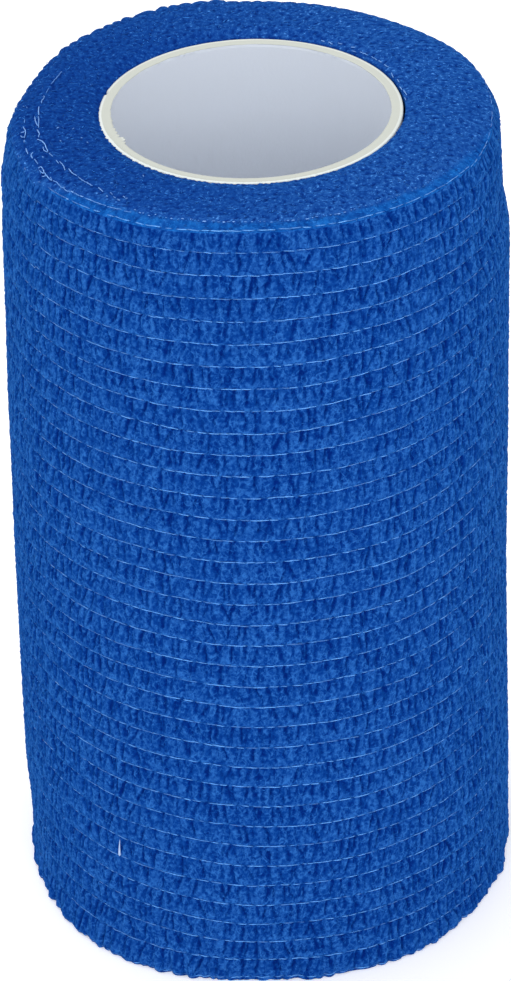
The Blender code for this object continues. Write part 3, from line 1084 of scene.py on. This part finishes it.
class BANDAGE_OT_make_ends(bpy.types.Operator):
    """Make the felted top end face with its smooth shoulder, and the flat base"""

    bl_idname = "bandage.make_ends"
    bl_label = "End faces"

    def execute(self, context):
        sizes, colours = context.scene.bandage_sizes, context.scene.bandage_colours
        stops = (
            (0.00, colours.felt_painted_shade),
            (0.47, colours.felt),
            (0.97, colours.felt_painted_light),
            (1.00, colours.felt_fleck),
        )
        smooth_stops = (
            (0.10, colours.cloth_painted_shade),
            (0.56, colours.smooth),
            (0.98, colours.smooth_light),
        )
        finish = cloth_finish(
            "felted_edges", stops, net=(0.00042, 0.16, 0.12, 0.08), fuzz=(0.34, 0.42, 0.46),
            smooth_stops=smooth_stops)
        self.make_top(sizes, finish)
        self.make_base(sizes, finish)
        return {"FINISHED"}

    def make_top(self, sizes, finish):
        """The top: felt inside, a smooth gathered shoulder near the top edge, a lip at the core.

        Each ring's radius runs evenly from the top edge to the bore, whose edge wavers and leans
        onto the core at the front. The relief is the felt's, or the gathers' on the shoulder.
        """
        azimuth = CUT_END + 360.0 * np.arange(END_COLUMNS) / END_COLUMNS
        turned = np.radians(azimuth)
        share = np.linspace(0.0, 1.0, END_STEPS + 1)[:, None]
        edge = rim_radius(azimuth, sizes)
        # The cloth parts from the core behind and on the right, and touches it on the front left.
        parted = 0.5 + 0.5 * np.cos(np.radians(azimuth - 40.0))
        ragged = turn_grain(azimuth, 1.0, 0.0010, 62)
        bore = core_edge(azimuth, sizes.core_radius) - CORE_LIP
        bore = bore + 0.00030 * ease(parted * 1.5 - 0.3) + 0.00007 * ragged
        radius = edge + (bore - edge) * share
        height = end_height(radius, azimuth, sizes)
        points = around(radius, azimuth, height)
        x, y = points[..., 0], points[..., 1]
        felt, tone = felt_relief(x, y)
        felt_edge = shoulder_edge(azimuth, edge)
        felted = ease((felt_edge - radius) / 0.0004)
        gathered = 0.6 * turn_grain(azimuth, radius / 0.0016, 0.0012, 64)
        gathered = gathered + 0.6 * turn_grain(azimuth, radius / 0.0009, 0.00052, 59)
        layers = np.cos(math.tau * (radius + winding_offset(azimuth, sizes)) / LAYER_PITCH)
        layers = layers * ease(0.5 + plane_grain(x, y, 0.004, 65))
        proud = ease((edge - radius) / 0.0003) * (
            felted * (sizes.felt_depth * felt + LAYER_RELIEF * layers + 0.00004)
            + (1.0 - felted) * (GATHER_RELIEF * gathered - 0.00004)
        )
        rim = scallop(azimuth)
        lobes = rim * ease(1.0 - (edge - radius) / 0.0024)
        lean = read_table(SECTIONS, 2, RIM_HEIGHT) * (1.0 - share)
        height = height + proud + SCALLOP_RISE * lobes
        top = around(radius + SCALLOP_REACH * lobes, azimuth, height, lean)
        # Outside, the cloth tucks under the wall, and inside it turns down into the bore.
        low = RIM_HEIGHT - rim_drop(azimuth) + rim_drift(azimuth) - 0.00009 + SCALLOP_RISE * rim
        tucked = around(edge + 0.00002 + SCALLOP_REACH * rim, azimuth, low, lean[0])
        hidden = [
            around(bore - 0.00002, azimuth, top[-1, :, 2] - 0.0006),
            around(bore - 0.00002, azimuth, top[-1, :, 2] - 0.0016),
            around(bore + 0.0008, azimuth, sizes.cloth_width - 0.0030),
            around(edge - 0.0020, azimuth, sizes.cloth_width - 0.0040),
        ]
        # The felt's tone is painted lighter on the right and darker on the left, and a little
        # lighter in
        # front and behind than at the sides: painted light and shade, as light falls across its
        # nap. Its
        # edge is lighter: in front beside the shoulder, and on the left at the top edge.
        painted_side_light = 0.13 * np.cos(turned) + 0.065 * np.sin(turned) ** 2 - 0.10
        worn = 0.12 * ease(-np.sin(turned)) + 0.33 * bell(away_from(azimuth, 203.0), 24.0)
        lighter_edge = bell(felt_edge - radius, 0.0011) * worn
        bluer = 0.08 * bell(away_from(azimuth, 244.0), 16.0)
        bluer = bluer + 0.03 * bell(away_from(azimuth, 300.0), 22.0)
        # The layers' ridges, and on the shoulder the gathers' crests, are painted lighter and their
        # hollows darker: painted light and painted shade.
        tone = felted * (tone + painted_side_light + lighter_edge + 0.03 * layers)
        tone = tone + (1.0 - felted) * (0.50 + bluer + 0.30 * gathered)
        # The smooth blue fades into the felt, thinner in some places than in others.
        thin = np.clip(0.93 + 0.45 * plane_grain(x, y, 0.0013, 58), 0.0, 1.0)
        drawn = ease((radius - felt_edge) / 0.0007 + 0.45) * thin
        # The rings that turn down into the gap at the core and tuck under the wall get a dark tone:
        # painted shade.
        dark = np.ones((len(hidden), END_COLUMNS))
        shares = {
            "tone": np.concatenate([tone[:1], tone, 0.1 * dark]),
            "smooth": np.concatenate([drawn[:1], drawn, 0.0 * dark]),
        }
        ring_body("felted_top", np.concatenate([tucked[None], top, hidden]), finish, shares)

    def make_base(self, sizes, finish):
        """The base: felt that the roll stands on, its highest crumbs level with the floor."""
        azimuth = CUT_END + 360.0 * np.arange(BASE_COLUMNS) / BASE_COLUMNS
        share = np.linspace(0.0, 1.0, BASE_STEPS + 1)[:, None]
        edge = wall_radius(0.0, azimuth, sizes) + foot_edge(azimuth) - 0.00045
        bore = sizes.core_radius + CORE_GAP
        radius = bore + (edge - bore) * share
        flat = around(radius, azimuth, 0.0)
        felt, tone = felt_relief(flat[..., 0], flat[..., 1])
        height = np.clip(0.00008 - sizes.felt_depth * 0.6 * felt, 0.0, 0.0004)
        ceiling = [around(out, azimuth, 0.0012) for out in (edge - 0.0003, bore + 0.0003)]
        rings = np.concatenate([around(radius, azimuth, height), ceiling])
        tones = np.concatenate([tone, np.full((2, BASE_COLUMNS), 0.3)])
        ring_body("felted_base", rings, finish, {"tone": tones})


class BANDAGE_OT_make_threads(bpy.types.Operator):
    """Make the elastic threads, each seen as a row of short stitches between the gathers"""

    bl_idname = "bandage.make_threads"
    bl_label = "Elastic threads"

    def execute(self, context):
        sizes, colours = context.scene.bandage_sizes, context.scene.bandage_colours
        finish = thread_finish("elastic_thread", colours.elastic, colours.cloth_painted_light, 0.36, 0.6)
        rng = np.random.default_rng(71)
        thread = np.arange(THREADS, dtype=float)[:, None, None]
        shape = (THREADS, STITCHES, 1)
        stitch = np.arange(STITCHES)[:, None] + rng.uniform(-0.30, 0.30, shape)
        start = stitch / STITCHES + rng.random((THREADS, 1, 1))
        span = rng.uniform(0.80, 1.55, shape) / STITCHES
        along = np.linspace(-0.5, 0.5, STITCH_POINTS)
        azimuth = 360.0 * (start + span * along) % 360.0
        # A stitch bows out of the cloth in the middle, dips towards its ends, and runs downhill.
        bow = 1.0 - (2.0 * along) ** 2
        lift = rng.uniform(0.00001, 0.00005, shape)
        rough = 0.00003 * turn_grain(azimuth, thread + 1.0, 0.002, 72)
        slope = rng.uniform(-0.00020, 0.00010, shape)
        centres = wall_points(azimuth, thread, lift * bow + rough - STITCH_SINK, sizes)
        centres[..., 2] += slope * along + 0.00002 * rng.normal(0.0, 1.0, shape) - 0.00003
        centres[THREADS - 1, :, :, 2] += 0.00012
        thick = sizes.thread_thickness / 2.0 * rng.uniform(0.85, 1.10, shape)
        # How bare a stitch is varies from one to the next and slowly along a thread, and a few
        # are nearly hidden.
        tip = azimuth[..., :1]
        bare = np.clip(rng.normal(0.60, 0.22, shape), 0.15, 1.0)
        bare = bare * (0.75 + 0.25 * ease(0.8 + turn_grain(tip, thread + 30.0, 0.009, 73)))
        bare = bare * np.where(rng.random(shape) < 0.05, 0.3, 1.0)
        # The threads are painted brighter in front and behind than at the sides: a painted
        # highlight, the gleam that the lamp beside the camera gives the threads in front.
        bare = bare * (0.60 + 0.66 * bell(np.mod(tip, 180.0) - 90.0, 32.0, 4))
        worn = (tip > 105.0) & (tip < 220.0) & (thread == THREADS - 1)
        bare = bare * np.where(worn, 0.2, 1.0)
        stitches = (THREADS * STITCHES, STITCH_POINTS)
        add_tubes(
            "elastic_threads",
            centres.reshape(*stitches, 3),
            around(1.0, azimuth, 0.0).reshape(*stitches, 3),
            (thick * (0.80 + 0.20 * bow)).reshape(stitches),
            (bare * (0.42 + 0.90 * bow ** 1.2)).reshape(stitches),
            finish)
        return {"FINISHED"}


class BANDAGE_OT_make_loose_threads(bpy.types.Operator):
    """Make the stray threads that lie curled on the end face"""

    bl_idname = "bandage.make_loose_threads"
    bl_label = "Stray threads"

    def execute(self, context):
        sizes, colours = context.scene.bandage_sizes, context.scene.bandage_colours
        finish = thread_finish("stray_thread", colours.stray, colours.felt_painted_light, 0.5, 0.12)
        step = np.linspace(0.0, 1.0, STRAND_POINTS)
        strands = []
        for _, *strand in LOOSE_THREADS:
            knots = np.array(strand).T
            even = np.linspace(0.0, 1.0, len(strand))
            strands.append([np.interp(step, even, column) for column in knots])
        strands = np.array(strands)
        # Rounding: each strand is averaged along itself twice, its ends held.
        for _ in range(2):
            total = strands[..., :-2] + strands[..., 1:-1] * 2 + strands[..., 2:]
            strands[..., 1:-1] = total / 4
        bare = np.array([strand[0] for strand in LOOSE_THREADS])[:, None]
        row = np.arange(len(LOOSE_THREADS))[:, None] * 3.0 + 1.0
        azimuth = strands[:, 0] + 0.10 * grain(step * 7.0, row, 256, 83)
        radius = strands[:, 1] + 0.00003 * grain(step * 7.0, row, 256, 82)
        lift = 0.00017 + 0.00006 * grain(step * 4.0, row, 256, 84)
        knotted = grain(step * 9.0, row, 256, 85)
        thick = 0.000052 * (0.80 + 0.30 * bare + 0.40 * knotted)
        fading = 0.70 + 0.30 * np.sin(math.pi * step)
        shown = bare * fading * (1.0 + 0.5 * knotted)
        centres = on_end(radius, azimuth, lift, sizes)
        add_tubes("stray_threads", centres, UP, thick, shown, finish, 4)
        self.make_glints(sizes, finish)
        return {"FINISHED"}

    def make_glints(self, sizes, finish):
        """Short glints of a buried thread along the felt's edge in front, at even steps."""
        rng = np.random.default_rng(87)
        spot = (GLINTS, 1)
        azimuth = np.linspace(240.0, 318.0, GLINTS)[:, None] + rng.uniform(-0.5, 0.5, spot)
        azimuth = azimuth + rng.uniform(0.10, 0.55, spot) * np.linspace(-1.0, 1.0, GLINT_POINTS)
        radius = shoulder_edge(azimuth, rim_radius(azimuth, sizes))
        radius = radius + rng.normal(0.0, 0.00010, spot)
        thick = 0.00007 * rng.uniform(0.6, 1.2, spot)
        fading = 1.1 * ease((330.0 - azimuth[:, :1]) / 70.0)
        shown = fading * rng.uniform(0.0, 1.0, spot) ** 1.6
        centres = on_end(radius, azimuth, 0.00012, sizes)
        add_tubes("thread_glints", centres, UP, thick, shown, finish, 4)


class BANDAGE_OT_make_fibres(bpy.types.Operator):
    """Make the loose fibres on the end face and the wall, and one pale fleck of lint"""

    bl_idname = "bandage.make_fibres"
    bl_label = "Loose fibres"

    def execute(self, context):
        sizes, colours = context.scene.bandage_sizes, context.scene.bandage_colours
        finish = thread_finish("loose_fibre", colours.fibre, colours.cloth, 0.6, 0.1)
        rng = np.random.default_rng(91)
        spot = (sizes.fibre_count, 1)
        on_wall = (rng.random(spot) < 0.35)[..., None]
        azimuth = rng.uniform(0.0, 360.0, spot)
        radius = np.sqrt(rng.uniform(0.0175 ** 2, 0.0266 ** 2, spot))
        place = rng.uniform(0.3, THREADS - 1.2, spot)
        upright = wall_points(azimuth, place, -0.00016, sizes)
        root = np.where(on_wall, upright, on_end(radius, azimuth, 0.0, sizes))
        outward = np.where(on_wall, around(1.0, azimuth, 0.0), UP)
        sideways = around(1.0, azimuth + 90.0, 0.0)
        upward = np.cross(outward, sideways)
        heading = rng.uniform(0.0, math.tau, spot)[..., None]
        ahead = sideways * np.cos(heading) + upward * np.sin(heading)
        beside = np.cross(outward, ahead)
        # A fibre runs ahead through its root, curls to one side and arches up along parabolas.
        reach = sizes.fibre_length * rng.lognormal(-0.25, 0.45, spot)
        curl = 2.0 * reach * rng.normal(0.0, 0.35, spot)
        rise = reach * rng.uniform(0.10, 0.35, spot)
        step = np.linspace(0.0, 1.0, FIBRE_POINTS)
        arch = step * (1.0 - step)
        path = (
            root
            + (reach * (step - 0.5))[..., None] * ahead
            + (curl * arch)[..., None] * beside
            + (0.00004 + rise * arch)[..., None] * outward
        )
        thick = 0.000034 * rng.uniform(0.6, 1.4, spot)
        shown = rng.uniform(0.1, 1.0, spot) ** 1.3
        add_tubes("loose_fibres", path, outward, thick, shown, finish)
        self.make_fleck(sizes, colours)
        return {"FINISHED"}

    def make_fleck(self, sizes, colours):
        """One sliver of lint that clings upright to the wall, low on the left."""
        finish = thread_finish("pale_lint", colours.lint, colours.lint_under, 0.7, 0.2)
        step = np.linspace(-1.0, 1.0, FLECK_POINTS)
        azimuth = 232.6 - 0.06 * step
        place = 5.46 - 0.44 * step
        proud = 0.00006 + 0.00006 * (1.0 - step ** 2) + 0.00005 * step
        path = wall_points(azimuth, place, proud, sizes)[None]
        thick = 0.00010 + 0.00008 * step
        add_tubes("lint_fleck", path, around(1.0, azimuth, 0.0), thick, 0.8, finish, 6)


class BANDAGE_OT_make_core(bpy.types.Operator):
    """Make the paper core with its rubbed ends and frayed outer ply"""

    bl_idname = "bandage.make_core"
    bl_label = "Paper core"

    def execute(self, context):
        sizes, colours = context.scene.bandage_sizes, context.scene.bandage_colours
        finish = paper_finish("core_board", colours)
        azimuth = 360.0 * np.arange(CORE_COLUMNS) / CORE_COLUMNS
        outer, inner = sizes.core_radius, sizes.core_radius - sizes.core_wall
        top = sizes.core_length
        # Profile: radius, height, how far the edge may waver, and the ply from 0 to 1.
        profile = (
            (outer - 0.00015, 0.0, 0.0, 0.9),
            (outer, 0.0002, 0.0, 0.95),
            (outer, 0.050, 0.0, 0.95),
            (outer, top - 0.0015, 0.0, 0.95),
            (outer, top - 0.00012, 0.2, 0.95),
            (outer - 0.00004, top - 0.00003, 0.3, 0.95),
            (outer - 0.00020, top, 0.4, 0.95),
            (outer - 0.00030, top - 0.00002, 0.6, 0.92),
            (outer - 0.00038, top - 0.00003, 0.7, 0.53),
            (outer - 0.00090, top - 0.00002, 0.7, 0.50),
            (inner + 0.00015, top - 0.00002, 0.8, 0.50),
            (inner + 0.00004, top - 0.00003, 1.0, 0.58),
            (inner, top - 0.00007, 1.2, 0.50),
            (inner, top - 0.00013, 1.2, 0.04),
            (inner + 0.00001, top - 0.00024, 1.0, 0.00),
            (inner, top - 0.00034, 0.0, 0.02),
            (inner, top - 0.00045, 0.0, 0.05),
            (inner, top - 0.0009, 0.0, 0.05),
            (inner, top - 0.0020, 0.0, 0.05),
            (inner, 0.050, 0.0, 0.05),
            (inner, 0.0002, 0.0, 0.05),
            (inner + 0.00015, 0.0, 0.0, 0.4),
        )
        radius, height, edge, ply = np.array(profile).T[:, :, None]
        rise = np.arange(len(profile))[:, None] * 0.35 + 1.0
        waver = turn_grain(azimuth, rise, 0.0040, 101)
        fuzz = turn_grain(azimuth, rise * 2.0, 0.0012, 102)
        # The inner edge is drawn over into the bore in front, and torn in places.
        sine = np.sin(np.radians(azimuth))
        jagged = 0.6 + 1.3 * turn_grain(azimuth, 3.0, 0.0007, 103)
        torn = 0.00005 - 0.00011 * sine
        for middle, width, reach in CORE_TEARS:
            torn = torn + reach * bell(away_from(azimuth, middle), width, 4) * jagged
        pushed = torn * np.clip(edge - 0.6, 0.0, 0.4) / 0.4
        # In front and on the left the outer ply has frayed and leans out over the felt.
        fringe = turn_grain(azimuth, 5.0, 0.0008, 104)
        frayed = bell(away_from(azimuth, 250.0), 64.0, 6) * (edge > 0.25) * (edge < 0.65)
        deeper = 0.00018 + 0.00024 * ease(-sine)
        loose = edge * (0.00004 * waver + 0.00002 * fuzz)
        loose = loose + frayed * (0.00011 + deeper * fringe) * (edge < 0.55)
        nick = bell(away_from(azimuth, 163.0), 1.1) * (edge > 0.25) * (edge < 0.5)
        radius = core_edge(azimuth, radius) + loose - pushed
        height = height + edge * 0.00003 * waver - 0.00040 * nick
        height = height + frayed * (0.00012 + 0.00006 * fringe)
        # The outer ply is whitest on the left and in front, and the tears show it.
        ply = ply + 0.08 * edge * fuzz + 900.0 * np.clip(pushed - 0.00018, 0.0, 0.0003)
        whiter = 0.45 + 0.55 * ease(0.3 + 0.9 * np.cos(np.radians(azimuth - 255.0)))
        ply = np.where(ply > 0.62, 0.62 + (ply - 0.62) * whiter, ply)
        rings = around(radius, azimuth, height)
        ring_body("paper_core", rings, finish, {"ply": ply}, "core")
        return {"FINISHED"}


class BANDAGE_OT_make_stage(bpy.types.Operator):
    """Make the pale floor, the lamps and the camera"""

    bl_idname = "bandage.make_stage"
    bl_label = "Floor, lamps and camera"

    def execute(self, context):
        stage, colours = context.scene.bandage_stage, context.scene.bandage_colours
        self.make_floor(colours)
        camera = self.make_camera(context, stage)
        self.make_lamp(context, "key_lamp", KEY_PLACE, KEY_SIDE, stage.key)
        self.make_lamp(context, "fill_lamp", FILL_PLACE, FILL_SIDE, stage.fill)
        world = bpy.data.worlds.new("white_studio")
        world.use_nodes = True
        back = world.node_tree.nodes["Background"]
        back.inputs["Color"].default_value = WHITE
        back.inputs["Strength"].default_value = stage.sky
        context.scene.world = world
        context.scene.view_settings.view_transform = "Standard"
        context.scene.view_settings.look = "None"
        context.scene.camera = camera
        return {"FINISHED"}

    def make_floor(self, colours):
        """A wide level floor, pale, with the faintest mottling."""
        half = FLOOR_HALF
        mesh = bpy.data.meshes.new("studio_floor")
        corners = [(-half, -half, 0.0), (half, -half, 0.0), (half, half, 0.0), (-half, half, 0.0)]
        mesh.from_pydata(corners, [], [(0, 1, 2, 3)])
        material, tree, shader = start_finish("pale_floor")
        mottle = object_noise(tree, 0.05, 1.0)
        pale = tuple(colours.floor)
        deeper = tuple(0.985 * value for value in pale)
        fill_inputs(tree, shader, {
            "Base Color": ramp_of(tree, mottle, ((0.3, deeper), (0.7, pale))),
            "Roughness": 0.9,
            "Specular IOR Level": 0.1,
            "Emission Color": WHITE,
            "Emission Strength": FLOOR_GLOW,
        })
        mesh.materials.append(material)
        floor = bpy.data.objects.new("studio_floor", mesh)
        bpy.context.scene.collection.objects.link(floor)

    def make_camera(self, context, stage):
        """The camera looks down at the roll's middle from the front, turned slightly."""
        look = Vector((0.0, math.cos(stage.look_down), -math.sin(stage.look_down)))
        level = Vector((1.0, 0.0, 0.0))
        over = level.cross(look)
        right = level * math.cos(stage.roll) + over * math.sin(stage.roll)
        up = over * math.cos(stage.roll) - level * math.sin(stage.roll)
        data = bpy.data.cameras.new("studio_camera")
        data.sensor_fit = "AUTO"
        data.sensor_width = 36.0
        data.lens = stage.lens
        data.clip_start, data.clip_end = 0.01, 20.0
        camera = bpy.data.objects.new("studio_camera", data)
        turned = Matrix((right, up, -look)).transposed().to_4x4()
        place = Vector(CAMERA_AIM) - look * stage.distance
        camera.matrix_world = Matrix.Translation(place) @ turned
        context.scene.collection.objects.link(camera)
        return camera

    def make_lamp(self, context, name, place, side, power):
        """A large square lamp that faces the roll's middle."""
        data = bpy.data.lights.new(name, "AREA")
        data.shape = "SQUARE"
        data.size = side
        data.energy = power
        lamp = bpy.data.objects.new(name, data)
        lamp.location = place
        aim = Vector(LAMP_AIM) - Vector(place)
        lamp.rotation_euler = aim.to_track_quat("-Z", "Y").to_euler()
        context.scene.collection.objects.link(lamp)


class BANDAGE_PT_maker(bpy.types.Panel):
    """Sidebar panel with the sizes, the colours and one button for each group of pieces"""

    bl_idname = "BANDAGE_PT_maker"
    bl_label = "Bandage roll"
    bl_space_type = "VIEW_3D"
    bl_region_type = "UI"
    bl_category = "Bandage roll"

    def draw(self, context):
        layout = self.layout
        for group in ("bandage_sizes", "bandage_colours", "bandage_stage"):
            values = getattr(context.scene, group)
            box = layout.box()
            for name in values.__annotations__:
                box.prop(values, name)
        for maker in MAKERS:
            layout.operator(maker.bl_idname)


MAKERS = (
    BANDAGE_OT_make_wall,
    BANDAGE_OT_make_ends,
    BANDAGE_OT_make_threads,
    BANDAGE_OT_make_loose_threads,
    BANDAGE_OT_make_fibres,
    BANDAGE_OT_make_core,
    BANDAGE_OT_make_stage,
)
GROUPS = (
    ("bandage_sizes", BandageSizes),
    ("bandage_colours", BandageColours),
    ("bandage_stage", StageSettings),
)


def register():
    """Register the properties, the operators and the panel."""
    for name, group in GROUPS:
        bpy.utils.register_class(group)
        setattr(bpy.types.Scene, name, PointerProperty(type=group))
    for maker in MAKERS:
        bpy.utils.register_class(maker)
    bpy.utils.register_class(BANDAGE_PT_maker)


def unregister():
    """Take out the panel, the operators and the properties."""
    bpy.utils.unregister_class(BANDAGE_PT_maker)
    for maker in reversed(MAKERS):
        bpy.utils.unregister_class(maker)
    for name, group in reversed(GROUPS):
        delattr(bpy.types.Scene, name)
        bpy.utils.unregister_class(group)


def main():
    """Make every piece in order."""
    register()
    bpy.ops.bandage.make_wall()
    bpy.ops.bandage.make_ends()
    bpy.ops.bandage.make_threads()
    bpy.ops.bandage.make_loose_threads()
    bpy.ops.bandage.make_fibres()
    bpy.ops.bandage.make_core()
    bpy.ops.bandage.make_stage()


if __name__ == "__main__":
    main()
